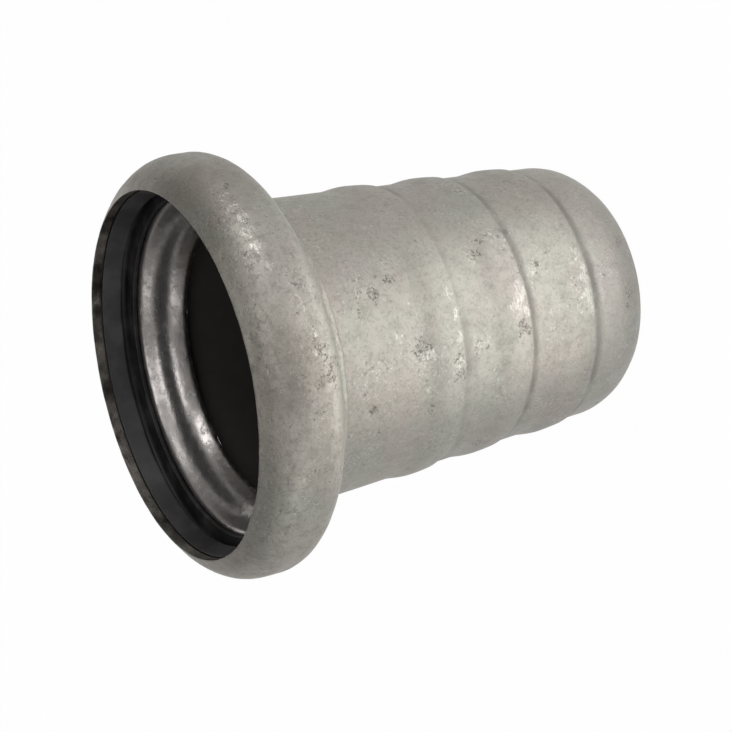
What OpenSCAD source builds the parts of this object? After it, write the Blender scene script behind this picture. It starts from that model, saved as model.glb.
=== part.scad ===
// Hose connector: socket half of a lever-closed pipe coupling with a ribbed hose tail.
// Outlines are lists of [radius, depth], with the depth measured from the mouth of the socket.
// The finished part stands on the end of its hose tail, with the mouth upwards.

/* [Throat and seat] */
// Diameter of the throat, the narrowest place of the socket
throat_d = 98.5; // [85:0.5:115]
// Length of the straight throat, up to its back edge where the tube seats
throat_len = 2; // [1:0.25:4]
// Length of the sloped ledge in front of the throat
ledge_len = 4.5; // [2:0.25:6]
// Slope of the ledge, from the axis
ledge_angle = 23; // [5:1:30]
// Radial height from the throat out to the seat's flat front face
seat_step = 11.5; // [9:0.5:14]
// Slope of the step between the ledge and the land, from the axis
step_angle = 62; // [50:1:80]
// Radius of the edge between the ledge and the step
step_round = 3; // [1:0.25:4]
// Radius of the hollow between the step and the land
step_hollow = 3; // [1:0.25:4]
// Length of the sloped land behind the seat's front edge
land_len = 3; // [1:0.25:4.5]
// Slope of the land, from the axis
land_angle = 25; // [5:1:35]
// Radius of the seat's front edge
seat_round = 2.5; // [1:0.25:3]
// Depth from the mouth to the front face of the seat
seat_depth = 16.5; // [14:0.5:19]

/* [Socket shell] */
// Width of the seat's flat front face, which carries the sealing ring
ring_seat_w = 11.75; // [9:0.25:15]
// Thickness of the shell round the sealing ring
shell_t = 3.5; // [2.5:0.25:4]
// Depth from the mouth at which the rounded front reaches the crown
crown_depth = 16; // [13:0.5:19]
// Width of the straight crown
crown_w = 4; // [0.5:0.5:8]
// Radius that turns the crown into the back face
back_round = 11; // [7:0.5:13]
// How far the lip's outside comes in from the crown
lip_drop = 10; // [8:0.25:12]
// Angle between the lip's outer cone and the axis
lip_angle = 52; // [43:1:60]
// Width of the blunt edge at the front of the lip
lip_edge = 0.5; // [0.2:0.1:1]
// Wall of the neck that holds the tube
neck_wall = 2.75; // [2:0.25:4]
// Length of the neck behind the back face
neck_len = 5; // [4:0.5:12]
// Radius of the fillet between the back face and the neck
neck_fillet = 2.5; // [1:0.5:3.5]

/* [Hose tail] */
// Length of the tube from its seat in the socket to its end
tube_len = 144; // [120:1:200]
// Wall of the tube
tube_wall = 3; // [2:0.25:4]
// How far the tube's bore lies outside the throat
tube_step = 3.5; // [1.5:0.25:5]
// Half angle of the taper towards the end
tube_taper = 3; // [0:0.25:3.5]
// Radial room between the tube and the neck
tube_gap = 0.1; // [0.05:0.05:0.3]
// Number of hose beads
bead_count = 3; // [1:1:3]
// Height of a bead
bead_h = 1.25; // [0.5:0.25:2]
// Length of a bead's rounded rise, which faces the socket
bead_rise = 8; // [4:0.5:10]
// Length of a bead's top, from its crest to the edge towards the end
bead_top = 6.5; // [3:0.5:9]
// How far a bead's top sinks from its crest to that edge
bead_sag = 0.25; // [0:0.05:0.45]
// Length over which a bead drops behind that edge
bead_drop = 4; // [2:0.5:6]
// Distance from one bead's crest to the next
bead_pitch = 30; // [24:0.5:35]
// Distance from the end to the first crest
bead_first = 34; // [29:0.5:40]
// Radius that turns the nose inwards
nose_round = 20; // [16:0.5:26]
// Angle through which the nose turns inwards
nose_angle = 48; // [30:1:56]

/* [Weld] */
// Length of the weld along the tube
weld_len = 3.25; // [2.5:0.25:6]
// How far the weld stays below the outside of the neck
weld_step = 0.4; // [0.2:0.1:1]

/* [Sealing ring] */
// Room between the ring and the shell round it
ring_gap = 0.2; // [0.1:0.05:0.4]
// How far the ring's front stands inside the mouth
ring_proud = 0.3; // [0.2:0.1:1.2]
// Distance from the tip of the sealing lip to the seat's front face
ring_tip_back = 5; // [4:0.25:6]
// How far the tip of the sealing lip stands inside the mouth
ring_tip_in = 2.25; // [1.5:0.25:3]
// Thickness of the sealing lip at its tip
ring_tip_t = 1.2; // [0.8:0.1:1.5]
// How far the ring's heel stops short of the seat's front edge
ring_heel_in = 0.25; // [0:0.25:1.5]
// Thickness of the ring's heel
ring_heel_t = 1.6; // [1:0.1:2]
// Depth of the groove between the lip and the heel
ring_groove = 4.5; // [3:0.25:5.5]

/* [Hidden] */

// Straight pieces that stand in for each round stretch of an outline
arc_steps = 14;
// Straight pieces in each of the three stretches of a bead
bead_steps = 8;
// Straight pieces round each turned piece when it is shown as a mesh
turn_steps = 180;

// Radii, each a step outwards from the throat
throat_r = throat_d / 2;
seat_r = throat_r + seat_step;
socket_r = seat_r + ring_seat_w + shell_t;
lip_r = socket_r - lip_drop;
mouth_r = lip_r - lip_edge;
tube_r = throat_r + tube_step + tube_wall;
neck_bore_r = tube_r + tube_gap;
neck_r = neck_bore_r + neck_wall;

// The seat's side runs inwards: front edge, sloped land, hollow, straight step, rounded edge, ledge
edge_r = seat_r - seat_round * cos(land_angle);
edge_end = seat_depth + seat_round * (1 - sin(land_angle));
land_r = edge_r - land_len * tan(land_angle);
land_end = edge_end + land_len;
ledge_r = throat_r + ledge_len * tan(ledge_angle);
hollow_drop = step_hollow * (cos(land_angle) - cos(step_angle));
round_drop = step_round * (cos(ledge_angle) - cos(step_angle));
step_straight = (land_r - ledge_r - hollow_drop - round_drop) / sin(step_angle);
hollow_run = step_hollow * (sin(step_angle) - sin(land_angle));
round_run = step_round * (sin(step_angle) - sin(ledge_angle));
step_end = land_end + hollow_run + step_straight * cos(step_angle) + round_run;
throat_start = step_end + ledge_len;
throat_depth = throat_start + throat_len;

// The front of the shell is an arc that ends in a cone at the lip
front_round = (crown_depth * sin(lip_angle) - lip_drop * cos(lip_angle)) / (1 - cos(lip_angle));
front_centre_r = socket_r - front_round;
crown_end = crown_depth + crown_w;
socket_depth = crown_end + back_round;

// The tube is seated in the neck, whose end carries the weld
neck_end = socket_depth + neck_len;
weld_end = neck_end + weld_len;
total_len = throat_depth + tube_len;

// The tube is straight under the neck and the weld, then tapers to its nose
nose_len = nose_round * sin(nose_angle);
nose_start = total_len - nose_len;
nose_r = tube_r - (nose_start - weld_end) * tan(tube_taper);

// Points along an arc about a centre, from one angle to another
function arc(centre, radius, from, to) = [
    for (i = [0 : arc_steps])
        let (a = from + (to - from) * i / arc_steps)
            centre + radius * [cos(a), sin(a)]
];

// Radius of the shell's front at a depth, for the surface that lies t inside its outer face
function shell_r(depth, t) =
    let (round = front_round - t, cone_end = crown_depth - round * sin(lip_angle))
        depth >= crown_depth ? socket_r - t
        : depth >= cone_end ? front_centre_r + sqrt(pow(round, 2) - pow(crown_depth - depth, 2))
        : front_centre_r + round * cos(lip_angle) - (cone_end - depth) * tan(lip_angle);

// Depth at which the lip's cone, taken t inside its outer face, has a given radius
function lip_depth(radius, t) =
    (radius - lip_r + t * cos(lip_angle)) / tan(lip_angle) + t * sin(lip_angle);

// Outline of the shell's front between two depths, for the surface t inside its outer face
function shell_front(from, to, t) = [
    for (i = [0 : arc_steps])
        let (depth = from + (to - from) * i / arc_steps)
            [shell_r(depth, t), depth]
];

// Radius of the tube's taper at a depth, without its beads
function taper_r(depth) = tube_r - (depth - weld_end) * tan(tube_taper);

// Height of a bead at a distance from its crest, positive towards the end of the tail
function bead_at(x) =
    x < 0 ? bead_h * cos(90 * x / bead_rise)
    : x < bead_top ? bead_h - bead_sag * pow(x / bead_top, 2)
    : (bead_h - bead_sag) * pow(1 - (x - bead_top) / bead_drop, 2);

// Outline of one bead with its crest at a depth
function bead(crest) = [
    for (x = concat(
        [for (i = [-bead_steps : 0]) bead_rise * i / bead_steps],
        [for (i = [1 : bead_steps]) bead_top * i / bead_steps],
        [for (i = [1 : bead_steps]) bead_top + bead_drop * i / bead_steps]
    ))
        [taper_r(crest + x) + bead_at(x), crest + x]
];

// Outline of the tube from its seat to its end, for the surface that lies t inside its outer face
function tube_side(t) = concat(
    [[tube_r - t, throat_depth], [tube_r - t, weld_end]],
    [
        for (k = [bead_count - 1 : -1 : 0], p = bead(total_len - bead_first - k * bead_pitch))
            [p[0] - t, p[1]]
    ],
    [
        for (i = [0 : arc_steps])
            let (x = nose_len * i / arc_steps)
                [nose_r - nose_round + sqrt(pow(nose_round - t, 2) - pow(x, 2)), nose_start + x]
    ]
);

// Turns an outline round the axis, with the mouth at the top
module turned(outline) {
    rotate_extrude($fn = turn_steps)
        polygon([for (p = outline) [p[0], total_len - p[1]]]);
}

// Socket: rolled lip, rounded shell, seat, throat and the neck behind it
module socket() {
    front = concat([[lip_r, 0]], shell_front(crown_depth - front_round * sin(lip_angle), crown_depth, 0));
    back = arc([socket_r - back_round, crown_end], back_round, 0, 90);
    fillet = arc([neck_r + neck_fillet, socket_depth + neck_fillet], neck_fillet, 270, 180);
    neck = [
        [neck_r, neck_end], [neck_bore_r, neck_end], [neck_bore_r, throat_depth],
        [throat_r, throat_depth], [throat_r, throat_start]
    ];
    edge = arc(
        [ledge_r + step_round * cos(ledge_angle), step_end + step_round * sin(ledge_angle)],
        step_round, 180 + ledge_angle, 180 + step_angle
    );
    hollow = arc(
        [land_r - step_hollow * cos(land_angle), land_end - step_hollow * sin(land_angle)],
        step_hollow, step_angle, land_angle
    );
    nose = arc([seat_r, seat_depth + seat_round], seat_round, 180 + land_angle, 270);
    inside = shell_front(seat_depth, lip_depth(mouth_r, shell_t), shell_t);
    color("darkgray")
        turned(concat(front, back, fillet, neck, edge, hollow, nose, inside, [[mouth_r, 0]]));
}

// Hose tail: one tube with rolled beads, so that its inside follows its outside
module hose_tail() {
    outer = tube_side(0);
    inner = tube_side(tube_wall);
    color("silver")
        turned(concat(outer, [for (i = [len(inner) - 1 : -1 : 0]) inner[i]]));
}

// Weld bead: fills the corner between the end of the neck and the tube
module weld_bead() {
    height = neck_r - weld_step - tube_r;
    crown = [
        for (p = arc([0, 0], 1, 0, 90))
            [tube_r + height * p[0], neck_end + weld_len * p[1]]
    ];
    color("dimgray")
        turned(concat([[tube_r, neck_end]], crown));
}

// Sealing ring: a lip and a heel with a groove between them, held inside the shell
module seal_ring() {
    inset = shell_t + ring_gap;
    front_r = mouth_r - ring_proud;
    tip_r = mouth_r - ring_tip_in;
    tip_depth = seat_depth - ring_tip_back;
    heel_r = seat_r + ring_heel_in;
    heel_front = seat_depth - ring_heel_t;
    groove_w = heel_front - tip_depth;
    groove_r = tip_r + ring_groove - groove_w / 2;
    tip = arc([tip_r + ring_tip_t / 2, tip_depth - ring_tip_t / 2], ring_tip_t / 2, 90, 180);
    groove = arc([groove_r, tip_depth + groove_w / 2], groove_w / 2, 90, -90);
    back = shell_front(lip_depth(front_r, inset), seat_depth, inset);
    color("#262626")
        turned(concat(back, [[heel_r, seat_depth], [heel_r, heel_front]], groove, tip));
}

socket();
hose_tail();
weld_bead();
seal_ring();
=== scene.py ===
# Hose connector: the looks of a galvanised pipe socket with its hose tail and rubber sealing ring.
# Sizes are in millimetres. Outlines are lists of [radius, depth], with the depth taken from the mouth.
import math

import bpy
import numpy as np
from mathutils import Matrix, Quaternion, Vector


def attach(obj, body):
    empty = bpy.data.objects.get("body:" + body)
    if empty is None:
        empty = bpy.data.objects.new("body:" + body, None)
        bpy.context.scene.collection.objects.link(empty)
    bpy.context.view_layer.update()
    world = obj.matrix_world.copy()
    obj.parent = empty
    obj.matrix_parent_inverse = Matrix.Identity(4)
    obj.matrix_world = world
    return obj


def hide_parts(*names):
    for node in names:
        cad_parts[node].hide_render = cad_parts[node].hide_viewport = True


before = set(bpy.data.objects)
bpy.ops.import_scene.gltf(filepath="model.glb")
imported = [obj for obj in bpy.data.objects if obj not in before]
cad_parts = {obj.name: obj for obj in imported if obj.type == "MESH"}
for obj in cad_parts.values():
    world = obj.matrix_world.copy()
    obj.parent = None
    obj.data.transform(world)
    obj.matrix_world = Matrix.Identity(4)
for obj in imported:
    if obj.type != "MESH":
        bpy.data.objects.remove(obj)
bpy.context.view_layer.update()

METRES = 0.001

# Throat and seat
throat_r = 49.25
throat_len = 2.0
ledge_len = 4.5
ledge_angle = 23.0
seat_step = 11.5
step_angle = 62.0
step_round = 3.0
step_hollow = 3.0
land_len = 3.0
land_angle = 25.0
seat_round = 2.5
seat_depth = 16.5
seat_wear = 3.8

# Socket shell
ring_seat_w = 11.75
shell_t = 3.5
crown_depth = 16.0
crown_w = 4.0
back_round = 11.0
lip_drop = 10.0
lip_angle = 52.0
lip_edge = 0.5
neck_wall = 2.75
neck_len = 5.0
neck_fillet = 2.5

# Hose tail
tube_len = 144.0
tube_wall = 3.0
tube_step = 3.5
tube_taper = 3.0
tube_gap = 0.1
bead_count = 3
bead_h = 1.25
bead_rise = 8.0
bead_top = 6.5
bead_sag = 0.25
bead_drop = 4.0
bead_pitch = 30.0
bead_first = 34.0
bead_ease = 3.0
nose_round = 20.0
nose_angle = 48.0

# Weld
weld_len = 3.25
weld_step = 0.4

# Sealing ring
ring_gap = 0.2
ring_proud = 0.3
ring_tip_back = 5.0
ring_tip_in = 2.25
ring_tip_t = 1.2
ring_heel_in = 0.25
ring_heel_t = 1.6
ring_groove = 4.5


def sin(degrees):
    return math.sin(math.radians(degrees))


def cos(degrees):
    return math.cos(math.radians(degrees))


def tan(degrees):
    return math.tan(math.radians(degrees))


# Radii and depths that follow from these
seat_r = throat_r + seat_step
socket_r = seat_r + ring_seat_w + shell_t
lip_r = socket_r - lip_drop
mouth_r = lip_r - lip_edge
tube_r = throat_r + tube_step + tube_wall
neck_bore_r = tube_r + tube_gap
neck_r = neck_bore_r + neck_wall

edge_r = seat_r - seat_round * cos(land_angle)
edge_end = seat_depth + seat_round * (1 - sin(land_angle))
land_r = edge_r - land_len * tan(land_angle)
land_end = edge_end + land_len
ledge_r = throat_r + ledge_len * tan(ledge_angle)
hollow_fall = step_hollow * (cos(land_angle) - cos(step_angle))
round_fall = step_round * (cos(ledge_angle) - cos(step_angle))
step_straight = (land_r - ledge_r - hollow_fall - round_fall) / sin(step_angle)
hollow_run = step_hollow * (sin(step_angle) - sin(land_angle))
round_run = step_round * (sin(step_angle) - sin(ledge_angle))
step_end = land_end + hollow_run + step_straight * cos(step_angle) + round_run
throat_start = step_end + ledge_len
throat_depth = throat_start + throat_len

front_round = (crown_depth * sin(lip_angle) - lip_drop * cos(lip_angle)) / (1 - cos(lip_angle))
front_centre_r = socket_r - front_round
cone_len = crown_depth - front_round * sin(lip_angle)
crown_end = crown_depth + crown_w
socket_depth = crown_end + back_round
neck_end = socket_depth + neck_len
weld_end = neck_end + weld_len
total_len = throat_depth + tube_len
nose_len = nose_round * sin(nose_angle)
nose_start = total_len - nose_len
nose_r = tube_r - (nose_start - weld_end) * tan(tube_taper)
bead_crests = [total_len - bead_first - k * bead_pitch for k in reversed(range(bead_count))]


# Outlines

def arc(centre, radius, start, end, steps=14):
    """Points along an arc about a centre, from one angle to another, in degrees."""
    turn = np.radians(np.linspace(start, end, steps + 1))
    return np.column_stack([centre[0] + radius * np.cos(turn), centre[1] + radius * np.sin(turn)])


def shell_radius(depth, inset=0.0):
    """Radius of the shell's front at a depth, for the surface that lies inset inside its outer face."""
    bend = front_round - inset
    cone_end = crown_depth - bend * sin(lip_angle)
    if depth >= crown_depth:
        return socket_r - inset
    if depth >= cone_end:
        return front_centre_r + math.sqrt(bend ** 2 - (crown_depth - depth) ** 2)
    return front_centre_r + bend * cos(lip_angle) - (cone_end - depth) * tan(lip_angle)


def lip_depth(radius, inset):
    """Depth at which the lip's cone, taken inset inside its outer face, has a given radius."""
    return (radius - lip_r + inset * cos(lip_angle)) / tan(lip_angle) + inset * sin(lip_angle)


def shell_front(start, end, inset=0.0, steps=24):
    """Outline of the shell's front between two depths."""
    return np.array([[shell_radius(d, inset), d] for d in np.linspace(start, end, steps + 1)])


def bell_radius(depth):
    """Radius of the socket's outside at a depth, from the lip to its back face."""
    if depth <= crown_end:
        return shell_radius(depth)
    return socket_r - back_round + math.sqrt(max(back_round ** 2 - (depth - crown_end) ** 2, 0.0))


def bead_height(offset):
    """Height of a bead at a distance from its crest, positive towards the end of the tail."""
    rise = bead_h * np.cos(np.pi / 2 * np.clip(offset / (bead_rise + bead_ease), -1, 0)) ** 2
    top = bead_h - bead_sag * np.clip(offset / bead_top, 0, 1) ** 2
    drop = (bead_h - bead_sag) * (1 - np.clip((offset - bead_top) / bead_drop, 0, 1)) ** 2
    return np.where(offset < 0, rise, np.where(offset < bead_top, top, drop))


def tail_radius(depth):
    """Radius of the tail's outside at a depth, with its beads and its nose."""
    if depth <= weld_end:
        return tube_r
    if depth >= nose_start:
        return nose_r - nose_round + math.sqrt(nose_round ** 2 - (depth - nose_start) ** 2)
    beads = sum(float(bead_height(np.array(depth - crest))) for crest in bead_crests)
    return tube_r - (depth - weld_end) * tan(tube_taper) + beads


def tube_side(inset, spacing):
    """Outline of the tube from its seat to its end, for the surface inset inside its outer face."""
    depths = np.arange(throat_depth, nose_start, spacing)
    side = [[tail_radius(d) - inset, d] for d in depths]
    for x in np.linspace(0, nose_len, 24):
        side.append([nose_r - nose_round + math.sqrt((nose_round - inset) ** 2 - x ** 2), nose_start + x])
    return np.array(side)


def seat_outline():
    """Outline from the throat over the seat to its shoulder, with its bends smoothed."""
    sharp = np.concatenate([
        [[throat_r, throat_depth], [throat_r, throat_start]],
        arc([ledge_r + step_round * cos(ledge_angle), step_end + step_round * sin(ledge_angle)],
            step_round, 180 + ledge_angle, 180 + step_angle),
        arc([land_r - step_hollow * cos(land_angle), land_end - step_hollow * sin(land_angle)],
            step_hollow, step_angle, land_angle),
        arc([seat_r, seat_depth + seat_round], seat_round, 180 + land_angle, 270),
    ])
    run = np.concatenate([[0], np.cumsum(np.hypot(*np.diff(sharp, axis=0).T))])
    stations = np.arange(0, run[-1], 0.5)
    samples = 25
    weights = 1.001 + np.cos(np.linspace(-math.pi, math.pi, samples))
    smooth = []
    for station in stations:
        reach = min(seat_wear, station, run[-1] - station)
        nearby = np.linspace(station - reach, station + reach, samples)
        smooth.append([np.average(np.interp(nearby, run, sharp[:, k]), weights=weights) for k in (0, 1)])
    return np.array(smooth + [sharp[-1]])


def socket_outline():
    """Outline of the socket: lip, rounded shell, back, neck, throat and seat."""
    return np.concatenate([
        [[lip_r, 0]],
        shell_front(cone_len, crown_depth),
        arc([socket_r - back_round, crown_end], back_round, 0, 90),
        arc([neck_r + neck_fillet, socket_depth + neck_fillet], neck_fillet, 270, 180),
        [[neck_r, neck_end], [neck_bore_r, neck_end], [neck_bore_r, throat_depth]],
        seat_outline(),
        shell_front(seat_depth, lip_depth(mouth_r, shell_t), shell_t),
        [[mouth_r, 0]],
    ])


def tail_outline():
    """Outline of the hose tail: one tube whose inside follows its outside."""
    outside = tube_side(0.0, 0.7)
    inside = tube_side(tube_wall, 2.0)
    return np.concatenate([outside, inside[::-1]])


def weld_outline():
    """Outline of the weld between the neck's end and the tube, sunk a little into both."""
    sink = 0.5
    height = neck_r - weld_step - tube_r
    crown = arc([0, 0], 1, 0, 90) * [height, weld_len] + [tube_r, neck_end]
    foot = [[tube_r - sink, weld_end], [tube_r - sink, neck_end - sink], [tube_r + height, neck_end - sink]]
    return np.concatenate([foot, crown])


def ring_outline():
    """Outline of the sealing ring: its back against the shell, its heel, its groove and its lip."""
    inset = shell_t + ring_gap
    tip_r = mouth_r - ring_tip_in
    tip_depth = seat_depth - ring_tip_back
    heel_r = seat_r + ring_heel_in
    heel_front = seat_depth - ring_heel_t
    groove_w = heel_front - tip_depth
    groove_r = tip_r + ring_groove - groove_w / 2
    half_t = ring_tip_t / 2
    return np.concatenate([
        shell_front(lip_depth(mouth_r - ring_proud, inset), seat_depth, inset),
        [[heel_r, seat_depth], [heel_r, heel_front]],
        arc([groove_r, tip_depth + groove_w / 2], groove_w / 2, 90, -90),
        arc([tip_r + half_t, tip_depth - half_t], half_t, 90, 180),
    ])


# Turned meshes

def softened(outline, size):
    """The outline with each sharp corner turned into a short curve."""
    sharp = math.radians(24)
    points = []
    count = len(outline)
    for k in range(count):
        here = outline[k]
        back = outline[k - 1] - here
        ahead = outline[(k + 1) % count] - here
        back_len, ahead_len = np.hypot(*back), np.hypot(*ahead)
        turn = math.pi - math.acos(np.clip(back @ ahead / (back_len * ahead_len), -1, 1))
        if turn < sharp:
            points.append(here)
            continue
        first = here + back / back_len * min(size, 0.4 * back_len)
        last = here + ahead / ahead_len * min(size, 0.4 * ahead_len)
        for t in np.linspace(0, 1, 5):
            points.append((1 - t) ** 2 * first + 2 * t * (1 - t) * here + t ** 2 * last)
    return np.array(points)


def divided(outline, spacing):
    """The outline with its long stretches divided, so that no step is longer than the spacing there."""
    points = []
    for k, here in enumerate(outline):
        ahead = outline[(k + 1) % len(outline)]
        parts = max(1, math.ceil(np.hypot(*(ahead - here)) / spacing((here + ahead) / 2)))
        for i in range(parts):
            points.append(here + (ahead - here) * i / parts)
    return np.array(points)


def outline_normals(outline):
    """The direction out of the material at each point of a closed outline."""
    along = np.roll(outline, -1, 0) - np.roll(outline, 1, 0)
    out = np.column_stack([along[:, 1], -along[:, 0]])
    return out / np.linalg.norm(out, axis=1, keepdims=True)


def place(azimuth, depth, radius):
    """A point of the part, from its angle about the axis in degrees, its depth and its radius."""
    turn = math.radians(azimuth)
    return np.array([radius * math.cos(turn), radius * math.sin(turn), total_len - depth])


def turned(name, outline, around, relief):
    """A mesh turned from a closed outline, with its points moved along their normals by the relief."""
    turn = np.linspace(0, 2 * math.pi, around, endpoint=False)
    out = outline_normals(outline)
    radius, depth = outline[:, :1], outline[:, 1:]
    points = np.stack([
        radius * np.cos(turn), radius * np.sin(turn), np.repeat(total_len - depth, around, 1),
    ], 2)
    normals = np.stack([
        out[:, :1] * np.cos(turn), out[:, :1] * np.sin(turn), np.repeat(-out[:, 1:], around, 1),
    ], 2)
    points = points + normals * relief(points)[..., None]
    rows, columns = np.meshgrid(np.arange(len(outline)), np.arange(around), indexing="ij")
    below, beside = (rows + 1) % len(outline), (columns + 1) % around
    corners = np.stack([
        rows * around + columns, below * around + columns, below * around + beside, rows * around + beside,
    ], 2)
    mesh = bpy.data.meshes.new(name)
    mesh.from_pydata((points.reshape(-1, 3) * METRES).tolist(), [], corners.reshape(-1, 4).tolist())
    mesh.shade_smooth()
    piece = bpy.data.objects.new(name, mesh)
    bpy.context.scene.collection.objects.link(piece)
    return piece


def unevenness(seed, height, shortest, longest, count=26):
    """A gentle relief: a sum of waves of several lengths in all directions, at most height either way."""
    draw = np.random.default_rng(seed)
    directions = draw.normal(size=(count, 3))
    directions /= np.linalg.norm(directions, axis=1, keepdims=True)
    lengths = np.geomspace(shortest, longest, count)
    phases = draw.uniform(0, 2 * math.pi, count)
    weights = lengths / lengths.sum()

    def relief(points):
        total = 0
        for direction, length, phase, weight in zip(directions, lengths, phases, weights):
            total = total + weight * np.sin(points @ direction * (2 * math.pi / length) + phase)
        return np.clip(total * 2.2, -1, 1) * height

    return relief


def dented(relief, dents):
    """The relief with round dents added, each a place, a width and a depth."""
    def with_dents(points):
        total = relief(points)
        for centre, width, deep in dents:
            away = ((points - centre) ** 2).sum(-1)
            total = total - deep * np.exp(-away / (2 * (width / 2) ** 2))
        return total

    return with_dents


# Marks that the photo shows, each an angle about the axis, a depth from the mouth and a size

bell_pits = [
    (-54.5, 11.3, 3.6), (-60.2, 19.2, 3.4), (-71.6, 17.4, 3.0), (-75.0, 19.0, 3.6), (-81.2, 14.3, 3.6),
    (-85.4, 20.6, 3.6), (-88.9, 19.3, 4.6), (-92.2, 21.2, 6.0), (-94.9, 26.2, 4.4), (-97.9, 21.9, 5.4),
    (-96.5, 24.0, 6.0), (-99.7, 17.7, 3.4), (-120.9, 16.1, 3.4), (-125.8, 22.4, 3.8), (-132.9, 24.1, 3.6),
    (-90.6, 1.4, 3.0), (-66.0, 22.0, 4.0), (-101.0, 24.5, 5.0), (-41.0, 14.0, 3.0),
]
# Painted highlights on the bell: these places are painted paler and made glossier, along the bell's streak
# of reflected light.
bell_painted_highlights = [
    (-45.0, 10.2, 5.0), (-49.0, 10.8, 6.5), (-53.0, 11.6, 6.5), (-57.5, 11.2, 6.5), (-62.0, 11.8, 6.0),
    (-68.0, 12.2, 4.5), (-79.0, 17.5, 4.5), (-87.0, 20.5, 5.0), (-92.0, 20.0, 4.5),
]
# Painted shade on the bell: brown patches that darken its upper crest and front.
bell_painted_shade = [(-12.0, 14.0, 80.0), (-40.0, 3.0, 45.0), (-95.0, 8.0, 30.0)]
tail_pits = [
    (-72.6, 64.9, 6.0), (-77.0, 57.0, 6.5), (-98.8, 71.5, 9.0), (-101.5, 69.5, 6.0), (-63.0, 106.9, 5.0),
    (-68.5, 103.7, 5.0), (-101.6, 115.2, 7.0), (-37.8, 124.8, 5.5), (-124.6, 74.1, 6.0), (-119.1, 49.1, 5.0),
    (-107.0, 86.0, 6.0), (-113.1, 86.0, 6.0), (-97.7, 166.7, 7.0), (-102.0, 165.0, 6.0), (-75.1, 168.5, 5.0),
    (-77.5, 86.4, 4.0), (-61.6, 118.8, 4.0), (-78.8, 119.5, 3.0), (-70.0, 60.0, 4.0), (-81.7, 49.9, 4.0),
]
# Painted highlights on the tail, mostly along the bead crests.
tail_painted_highlights = [
    (-86.0, 116.5, 7.0), (-91.0, 114.5, 9.0), (-95.0, 117.0, 9.0), (-76.0, 145.5, 5.0), (-82.0, 146.0, 6.0),
    (-88.0, 146.0, 8.0), (-95.0, 146.5, 8.0), (-101.0, 147.0, 5.0), (-82.0, 86.0, 5.0), (-90.0, 86.5, 5.0),
    (-99.0, 86.5, 6.0), (-108.0, 87.0, 5.0), (-103.0, 74.5, 7.0), (-96.0, 62.0, 5.0),
]


def spots(places, radius):
    """The places as points on a surface of that radius, with their sizes."""
    return [(place(a, d, radius(d)), size) for a, d, size in places]


def pit_dents(pits, radius):
    """A shallow dent at each pit."""
    width_share, depth_share = 0.7, 0.03
    return [(centre, width_share * size, depth_share * size) for centre, size in spots(pits, radius)]


# Pieces

def socket_spacing(middle):
    """Wide steps where the tube sits in the neck, which is out of sight, and narrow ones elsewhere."""
    hidden = middle[1] > 30 and middle[0] < 58
    return 2.2 if hidden else 0.72


def make_socket():
    outline = divided(softened(socket_outline(), 0.35), socket_spacing)
    waves = unevenness(seed=11, height=0.1, shortest=5, longest=34)
    lumps = unevenness(seed=13, height=0.045, shortest=2.2, longest=7)
    sink = 0.15
    relief = dented(lambda points: waves(points) + lumps(points) - sink, pit_dents(bell_pits, bell_radius))
    return turned("socket_galvanised", outline, 450, relief)


def make_tail():
    outline = divided(softened(tail_outline(), 0.5), lambda p: 2.2)
    waves = unevenness(seed=23, height=0.12, shortest=5, longest=40)
    bead_wander = unevenness(seed=29, height=1.0, shortest=30, longest=120)
    sink = 0.13
    wander_reach = 1.2
    end_rim = 1

    def relief(points):
        depth = total_len - points[..., 2]
        outside = np.hypot(points[..., 0], points[..., 1]) > [[tail_radius(d) - 0.5] for d in depth[:, 0]]
        beads = 0
        for crest in bead_crests:
            wander = bead_wander(points * [1, 1, 0] + [0, 0, 7 * crest])
            beads = beads + bead_height(depth - crest - wander_reach * wander) * (1 + 0.15 * wander)
            beads = beads - bead_height(depth - crest)
        return (waves(points) - sink) * (depth < total_len - end_rim) + np.where(outside, beads, 0)

    return turned("hose_tail_galvanised", outline, 314, dented(relief, pit_dents(tail_pits, tail_radius)))


def make_weld():
    outline = divided(softened(weld_outline(), 0.3), lambda p: 0.5)
    waves = unevenness(seed=31, height=0.35, shortest=3, longest=16)
    return turned("weld_bead_galvanised", outline, 480, waves)


def make_ring():
    outline = divided(softened(ring_outline(), 0.3), lambda p: 0.7)
    sink = 0.06
    waves = unevenness(seed=41, height=sink, shortest=8, longest=40)
    return turned("seal_ring_rubber", outline, 360, lambda points: waves(points) - sink)


# Materials

class Link:
    """A value that a node gives, which takes part in Python arithmetic."""

    def __init__(self, finish, socket):
        self.finish = finish
        self.socket = socket

    def maths(self, operation, *values):
        return self.finish.add("ShaderNodeMath", {"operation": operation}, dict(enumerate(values)))

    def __add__(self, other):
        return self.maths("ADD", self, other)

    def __sub__(self, other):
        return self.maths("SUBTRACT", self, other)

    def __rsub__(self, other):
        return self.maths("SUBTRACT", other, self)

    def __mul__(self, other):
        return self.maths("MULTIPLY", self, other)

    __radd__ = __add__
    __rmul__ = __mul__

    def or_more(self, other):
        """The larger of the two values."""
        return self.maths("MAXIMUM", self, other)


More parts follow.
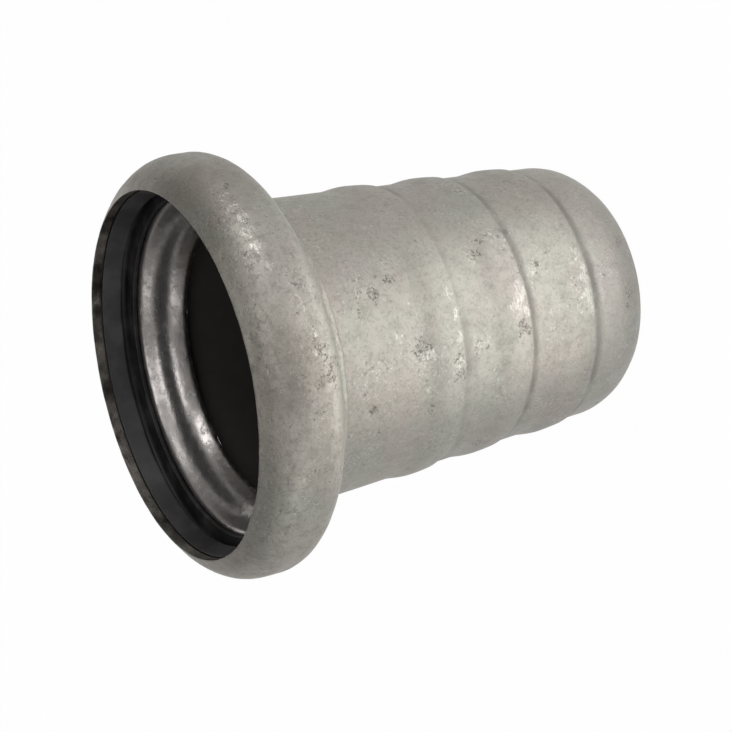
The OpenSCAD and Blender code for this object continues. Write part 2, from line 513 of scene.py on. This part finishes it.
class Finish:
    """A material whose nodes are added one at a time."""

    def __init__(self, name):
        self.material = bpy.data.materials.new(name)
        self.material.use_nodes = True
        self.tree = self.material.node_tree
        self.tree.nodes.clear()

    def add(self, kind, settings=None, sockets=None, output=0):
        """Adds a node of a kind, with its settings first, then the values or links of its sockets."""
        node = self.tree.nodes.new(kind)
        for name, value in (settings or {}).items():
            setattr(node, name, value)
        for name, value in (sockets or {}).items():
            if isinstance(value, Link):
                self.tree.links.new(value.socket, node.inputs[name])
            elif node.inputs[name].type == "RGBA":
                node.inputs[name].default_value = (*value, 1.0)
            else:
                node.inputs[name].default_value = value
        return Link(self, node.outputs[output]) if node.outputs else None

    def vector(self, operation, *values, output=0, **named):
        """A node of vector arithmetic."""
        sockets = dict(enumerate(values)) | named
        return self.add("ShaderNodeVectorMath", {"operation": operation}, sockets, output)

    def point(self):
        """The place on the object, in millimetres."""
        return self.vector("SCALE", self.add("ShaderNodeTexCoord", output=3), Scale=1 / METRES)

    def from_axis(self, point):
        """Distance of a point from the part's axis."""
        return self.vector("LENGTH", self.vector("MULTIPLY", point, (1, 1, 0)), output=1)

    def depth(self, point):
        """Depth of a point from the mouth."""
        return total_len - self.add("ShaderNodeSeparateXYZ", {}, {"Vector": point}, 2)

    def moved(self, point, offset):
        return self.vector("ADD", point, offset)

    def noise(self, point, size, detail=2.0, roughness=0.5, output=0):
        """Cloudy noise whose features are about size across."""
        sockets = {"Vector": point, "Scale": 1 / size, "Detail": detail, "Roughness": roughness}
        return self.add("ShaderNodeTexNoise", {}, sockets, output)

    def ragged(self, point, size, reach):
        """The point moved about by noise, so that what is drawn round it gets ragged edges."""
        shift = self.noise(point, size, 3.0, 0.6, output=1)
        shift = self.vector("SUBTRACT", shift, (0.5, 0.5, 0.5))
        return self.moved(point, self.vector("SCALE", shift, Scale=reach))

    def between(self, value, low, high):
        """Goes smoothly from 0 at low to 1 at high."""
        settings = {"interpolation_type": "SMOOTHSTEP"}
        return self.add("ShaderNodeMapRange", settings, {"Value": value, "From Min": low, "From Max": high})

    def near(self, point, centre, size):
        """1 within 0.3 of the size from a centre, fading to 0 at 0.6 of it."""
        away = self.vector("DISTANCE", point, tuple(centre), output=1)
        return 1 - self.between(away, 0.3 * size, 0.6 * size)

    def mix(self, factor, first, second):
        """Goes from the first colour to the second."""
        return self.add("ShaderNodeMix", {"data_type": "RGBA"}, {0: factor, 6: first, 7: second}, 2)

    def bump(self, height, distance, strength):
        """A normal roughened by a height, whose full range is a distance in millimetres."""
        sockets = {"Height": height, "Distance": distance * METRES, "Strength": strength}
        return self.add("ShaderNodeBump", {}, sockets)

    def end_with(self, surface):
        """Ends the material with a surface."""
        self.add("ShaderNodeOutputMaterial", {}, {"Surface": surface})
        return self.material

    def end(self, sockets):
        """Ends the material with a surface of these values."""
        return self.end_with(self.add("ShaderNodeBsdfPrincipled", {}, sockets))


WARM_ZINC = (0.30, 0.279, 0.246)
GREEN_ZINC = (0.285, 0.279, 0.245)
ROSY_ZINC = (0.298, 0.274, 0.25)
PALE_ZINC = (0.66, 0.65, 0.62)
DARK_ZINC = (0.13, 0.125, 0.11)
# Brown for the patches of painted shade.
PAINTED_SHADE_BROWN = (0.12, 0.098, 0.08)
# Dark for the pits, and for the painted shade inside the mouth.
PIT_AND_SHADE_COLOUR = (0.05, 0.046, 0.04)
BARE_INSIDE = (0.33, 0.31, 0.30)
# Painted shade: the dark colour of the tail's bore.
BORE_PAINTED_SHADE = (0.055, 0.05, 0.044)
RUBBER_BLACK = (0.007, 0.0065, 0.0065)
RUBBER_WORN = (0.036, 0.033, 0.034)
WHITE = (1.0, 1.0, 1.0)
FLOOR_GREY = (0.8, 0.8, 0.8)
CARD_BLACK = (0.1, 0.1, 0.1)

# Sizes across of the zinc's features, then how metallic it is and how high it stands
tint_size = 42
cloud_size = 26
patch_size = 11
mottle_size = 4.5
crumb_size = 2.4
# Grain of the painted highlights.
highlight_size = 2.0
grain_size = 1.1
pit_size = 0.9
zinc_metal = 0.8
zinc_relief = 0.22

# Where painted shade darkens the zinc, and how far it turns paler towards the tail's end
mouth_shade_end = 6.0
paler_end_reach = 35
shade_line_begins = 1.5
shade_line_fades = 2.5
shade_line_ends = 5.5

# Where the inside begins on the socket
inside_depth = 29.0
inside_r = 53.0
mouth_land_r = 65.55


def marks(finish, point, places, offset, size, flat, low, high):
    """Ragged clusters round each place: 1 in a mark, 0 elsewhere. Flat marks run round the part."""
    close = 0.0
    frayed = finish.ragged(point, 3.5, 12.0)
    for centre, width in places:
        close = finish.near(frayed, centre + np.array(offset), width).or_more(close)
    drawn = finish.vector("MULTIPLY", finish.ragged(point, 1.5 * size, 3 * size / flat), (1.0, 1.0, flat))
    return finish.between(close * 0.5 + finish.noise(drawn, size, 3.0, 0.7), low, high)


def coat_colour(finish, point, clouds, mottle, grain, crumbs, coarse):
    """The coat's own colour: warm, green and rosy clouds, darkened by its mottle, grain and crumbs."""
    tints = finish.noise(finish.moved(point, (90, 0, 0)), tint_size, 2.0, 0.5)
    colour = finish.mix(finish.between(tints, 0.42, 0.58), WARM_ZINC, GREEN_ZINC)
    colour = finish.mix(finish.between(clouds, 0.48, 0.64) * 0.85, colour, ROSY_ZINC)
    colour = finish.mix(finish.between(mottle, 0.44, 0.74) * coarse, colour, DARK_ZINC)
    colour = finish.mix(finish.between(grain, 0.46, 0.7) * 0.36, colour, DARK_ZINC)
    return finish.mix(crumbs * coarse * 0.8, colour, DARK_ZINC)


def pale_flecks(finish, point, patches):
    """Small pale flecks, closer together in some patches."""
    flecks = finish.noise(finish.moved(point, (0, 0, 40)), 1.0, 3.0, 0.7)
    return finish.between(patches * 0.5 + flecks, 0.84, 1.0)


def scuffs(finish, point, patches):
    """Small dark scuffs, in some patches only."""
    scratches = finish.noise(finish.ragged(point, 1.5, 2.0), 1.5, 4.0, 0.75)
    return finish.between(patches * 0.6 + scratches, 0.96, 1.02)


def with_painted_shade(finish, point, clouds, painted_shade_patches, colour):
    """The colour with faint brown painted shade round each of the places."""
    for centre, width in painted_shade_patches:
        colour = finish.mix(finish.near(point, centre, width) * (0.05 + 0.4 * clouds), colour, PAINTED_SHADE_BROWN)
    return colour


def painted_shade_lines(finish, point, shade_line_depths):
    """Painted shade: 1 in a thin wandering line behind each of the depths."""
    depth = finish.depth(finish.ragged(point, 7.0, 2.4))
    line_shade = 0.0
    for start in shade_line_depths:
        behind = finish.between(depth, start, start + shade_line_begins)
        line = behind - finish.between(depth, start + shade_line_fades, start + shade_line_ends)
        line_shade = line.or_more(line_shade)
    return line_shade


def nowhere(finish, point):
    return 0.0


def zinc(name, offset, coarse, pits=(), painted_highlights=(), painted_shade_patches=(), shade_line_depths=(), paler_end_from=total_len,
         inside=nowhere, inside_colour=BARE_INSIDE, inside_metal=1.0):
    """Hot-dip zinc: cloudy grey with dark pits, painted highlights, painted shade in patches, lines and at
    the mouth, paler towards the tail's end, and its own colour inside, which in the tail's bore is painted
    shade.
    """
    finish = Finish(name)
    place_here = finish.point()
    point = finish.moved(place_here, offset)
    depth = finish.depth(place_here)
    clouds = finish.noise(point, cloud_size, 2.0, 0.5)
    mottle = finish.noise(point, mottle_size, 4.0, 0.62)
    grain = finish.noise(point, grain_size, 3.0, 0.7)
    patches = finish.noise(finish.moved(point, (0, 70, 0)), patch_size, 3.0, 0.6)
    crumbs = finish.noise(finish.ragged(point, 2.5, 3.0), crumb_size, 4.0, 0.7)
    crumbs = finish.between(crumbs, 0.52, 0.66)
    pitted = marks(finish, point, pits, offset, pit_size, 1.0, 0.98, 1.08)
    pitted = pitted.or_more(scuffs(finish, point, patches) * 0.8)
    # Places of painted highlight, which are also made glossier below.
    gloss_and_painted_highlight = marks(finish, point, painted_highlights, offset, highlight_size, 3.0, 0.84, 1.2)
    within = inside(finish, place_here)

    colour = coat_colour(finish, point, clouds, mottle, grain, crumbs, coarse)
    colour = finish.mix(pale_flecks(finish, point, patches) * 0.3, colour, PALE_ZINC)
    # Painted shade in brown patches.
    colour = with_painted_shade(finish, place_here, clouds, painted_shade_patches, colour)
    colour = finish.mix(pitted * 0.55, colour, PIT_AND_SHADE_COLOUR)
    # Paler towards the tail's end.
    paler_end = finish.between(depth, paler_end_from, paler_end_from + paler_end_reach)
    colour = finish.mix(paler_end * 0.2, colour, PALE_ZINC)
    # Painted highlight: paler colour at the highlight places.
    colour = finish.mix(gloss_and_painted_highlight * 0.26, colour, PALE_ZINC)
    # Painted shade in a thin line behind each bead's top.
    line_shade = painted_shade_lines(finish, place_here, shade_line_depths) * (0.15 + 0.6 * finish.between(clouds, 0.35, 0.65))
    colour = finish.mix(line_shade, colour, DARK_ZINC)

    # Painted shade on the inside of the mouth, on the land behind the lip, mixed with darker mottle.
    painted_mouth_shade = 1 - finish.between(depth, mouth_shade_end - 1.5, mouth_shade_end)
    mottle_and_painted_shade = finish.between(mottle, 0.4, 0.75) * 0.2 + 0.85 * painted_mouth_shade
    # Inside colour: bare zinc in the socket, painted shade in the tail's bore.
    colour = finish.mix(within, colour, finish.mix(mottle_and_painted_shade, inside_colour, PIT_AND_SHADE_COLOUR))
    rough = 0.46 + 0.1 * clouds + 0.08 * finish.between(mottle, 0.35, 0.7) + 0.12 * pitted - 0.24 * gloss_and_painted_highlight
    sleek = 0.28 + 0.13 * finish.between(mottle, 0.42, 0.66)
    height = mottle * 0.6 + grain * 0.5 - 0.7 * pitted + 0.3 * gloss_and_painted_highlight - 2 * coarse * crumbs
    return finish.end({
        "Base Color": colour,
        "Roughness": rough * (1 - within) + sleek * within,
        "Metallic": zinc_metal + (inside_metal - zinc_metal) * within,
        "Normal": finish.bump(height * (1 - 0.6 * within), zinc_relief, 0.6),
    })


def socket_inside(finish, point):
    """1 on the mouth's land, the seat and the throat, 0 on the outside of the bell and the neck."""
    radius, depth = finish.from_axis(point), finish.depth(point)
    narrow = 1 - finish.between(radius, inside_r, inside_r + 1)
    front = 1 - finish.between(depth, inside_depth, inside_depth + 1)
    return front.or_more(narrow) * (1 - finish.between(radius, mouth_land_r, mouth_land_r + 0.2))


def tail_inside(finish, point):
    """1 in the tube's bore, 0 on its outside."""
    depth = finish.depth(point)
    tapered = (depth - weld_end).or_more(0.0) * tan(tube_taper)
    beyond = (depth - nose_start).or_more(0.0)
    in_wall = tube_r - 0.4 * tube_wall - tapered - beyond * beyond * (1 / (2 * nose_round - tube_wall))
    return 1 - finish.between(finish.from_axis(point) - in_wall, -0.3, 0.3)


def rubber(name):
    """Black rubber, dull, with faint pale wear and a soft sheen."""
    finish = Finish(name)
    point = finish.point()
    clouds = finish.noise(point, 14, 3.0, 0.6)
    return finish.end({
        "Base Color": finish.mix(finish.between(clouds, 0.4, 0.75), RUBBER_BLACK, RUBBER_WORN),
        "Roughness": 0.46 + 0.2 * clouds,
        "Normal": finish.bump(finish.noise(point, 1.2, 3.0, 0.6), 0.1, 0.3),
    })


def white_floor():
    """A floor that the camera and polished metal see as plain white, but not inside the part."""
    finish = Finish("white_floor")
    seen = finish.add("ShaderNodeLightPath", output="Is Camera Ray")
    for kind in ("Is Glossy Ray", "Is Transmission Ray"):
        seen = seen.or_more(finish.add("ShaderNodeLightPath", output=kind))
    outside_part = finish.between(finish.from_axis(finish.point()), 38.0, 42.5)
    matt = finish.add("ShaderNodeBsdfDiffuse", {}, {"Color": FLOOR_GREY})
    bright = finish.add("ShaderNodeEmission", {}, {"Color": WHITE, "Strength": 1.0})
    white_share = seen * outside_part * 0.98
    return finish.end_with(finish.add("ShaderNodeMixShader", {}, {0: white_share, 1: matt, 2: bright}))


def black_card():
    finish = Finish("black_card")
    return finish.end({"Base Color": CARD_BLACK, "Roughness": 0.9})


# Stage

def staged(name, corners, faces, material):
    """A piece of the studio, which isn't part of the object."""
    mesh = bpy.data.meshes.new(name)
    mesh.from_pydata(corners, [], faces)
    mesh.materials.append(material)
    thing = bpy.data.objects.new(name, mesh)
    bpy.context.scene.collection.objects.link(thing)
    return thing


def make_floor():
    """A wide floor with a low backdrop all round it."""
    half, high = 6.0, 1.5
    around = [(-half, -half), (half, -half), (half, half), (-half, half)]
    corners = [(x, y, z) for z in (0.0, high) for x, y in around]
    walls = [(k, 4 + k, 4 + (k + 1) % 4, (k + 1) % 4) for k in range(4)]
    staged("floor", corners, [(0, 1, 2, 3)] + walls, white_floor())


def make_card():
    """A black card over the mouth, which the seat and the ring's groove mirror."""
    half, near, far, high = 0.45, -0.12, 0.7, 0.6
    corners = [(-half, near, high), (half, near, high), (half, far, high), (-half, far, high)]
    card = staged("black_card", corners, [(0, 1, 2, 3)], black_card())
    card.visible_camera = False


def aimed(thing, spot, aim, roll=0.0):
    """Puts a lamp or camera at a spot, looking at its aim, rolled about its view in degrees."""
    view = Vector(aim) - Vector(spot)
    thing.location = spot
    thing.rotation_mode = "QUATERNION"
    thing.rotation_quaternion = view.to_track_quat("-Z", "Y") @ Quaternion((0, 0, 1), math.radians(roll))
    bpy.context.scene.collection.objects.link(thing)


def soft_lamp(name, spot, aim, size, power):
    """A flat lamp that the camera doesn't see."""
    lamp = bpy.data.lights.new(name, "AREA")
    lamp.shape = "RECTANGLE"
    lamp.size, lamp.size_y = size
    lamp.energy = power
    holder = bpy.data.objects.new(name, lamp)
    holder.visible_camera = False
    aimed(holder, spot, aim)


def floor_lamp(name, y, size, power):
    """A lamp that lies on the floor before the part and shines up."""
    x, z = -0.03, 0.004
    soft_lamp(name, (x, y, z), (x, y, 1.0), size, power)


def make_lamps():
    bell_middle = (0.0, 0.0, 0.16)
    floor_lamp("near_floor", -0.16, (0.26, 0.185), 0.35)
    floor_lamp("far_floor", -0.48, (0.3, 0.44), 0.7)
    soft_lamp("side_strip", (0.88, -0.47, 0.18), bell_middle, (0.95, 0.12), 1.3)
    soft_lamp("front_box", (0.82, -0.63, 0.5), bell_middle, (0.55, 0.28), 2.8)
    soft_lamp("high_front", (0.05, -0.5, 0.75), (0.0, -0.06, 0.16), (0.5, 0.4), 1.5)
    soft_lamp("left_fill", (-0.75, -0.35, 0.35), (0.0, 0.0, 0.14), (0.6, 0.6), 1.6)
    soft_lamp("back_fill", (0.15, 0.95, 0.45), (0.0, 0.0, 0.09), (0.8, 0.5), 1.8)


def make_camera():
    """The photo's camera. It is rolled, because the part stands and the photo shows it lying."""
    camera = bpy.data.cameras.new("camera")
    camera.lens = 88.7
    camera.sensor_width = 36.0
    holder = bpy.data.objects.new("camera", camera)
    aimed(holder, (0.0, -0.5823, 0.4218), (-0.0119, -0.0002, 0.0984), -103.21)
    bpy.context.scene.camera = holder


def make_world():
    world = bpy.data.worlds.new("studio")
    world.use_nodes = True
    background = world.node_tree.nodes["Background"]
    background.inputs["Color"].default_value = (0.42, 0.42, 0.42, 1.0)
    background.inputs["Strength"].default_value = 1.0
    bpy.context.scene.world = world


make_camera()
make_world()
make_floor()
make_card()
make_lamps()

socket_zinc = zinc(
    "galvanised_socket", (0, 0, 0), 0.3, pits=spots(bell_pits, bell_radius),
    painted_highlights=spots(bell_painted_highlights, bell_radius), painted_shade_patches=spots(bell_painted_shade, bell_radius), inside=socket_inside,
)
tail_zinc = zinc(
    "galvanised_tail", (300, 0, 0), 0.16, pits=spots(tail_pits, tail_radius),
    # The painted shade lines start just behind each bead's top.
    painted_highlights=spots(tail_painted_highlights, tail_radius), shade_line_depths=[crest + bead_top - 0.5 for crest in bead_crests],
    # The tail's bore gets its dark colour as painted shade.
    paler_end_from=140.0, inside=tail_inside, inside_colour=BORE_PAINTED_SHADE, inside_metal=0.3,
)
weld_zinc = zinc("galvanised_weld", (0, 300, 0), 0.2)

for piece, node, slot, finish in [
    (make_socket(), "socket", "socket_steel", socket_zinc),
    (make_tail(), "hose_tail", "tail_steel", tail_zinc),
    (make_weld(), "weld_bead", "weld_steel", weld_zinc),
    (make_ring(), "seal_ring", "seal_rubber", rubber("black_rubber")),
]:
    piece.data.materials.append(finish)
    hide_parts(node)
    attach(piece, "root")

bpy.context.scene.view_settings.view_transform = "Standard"
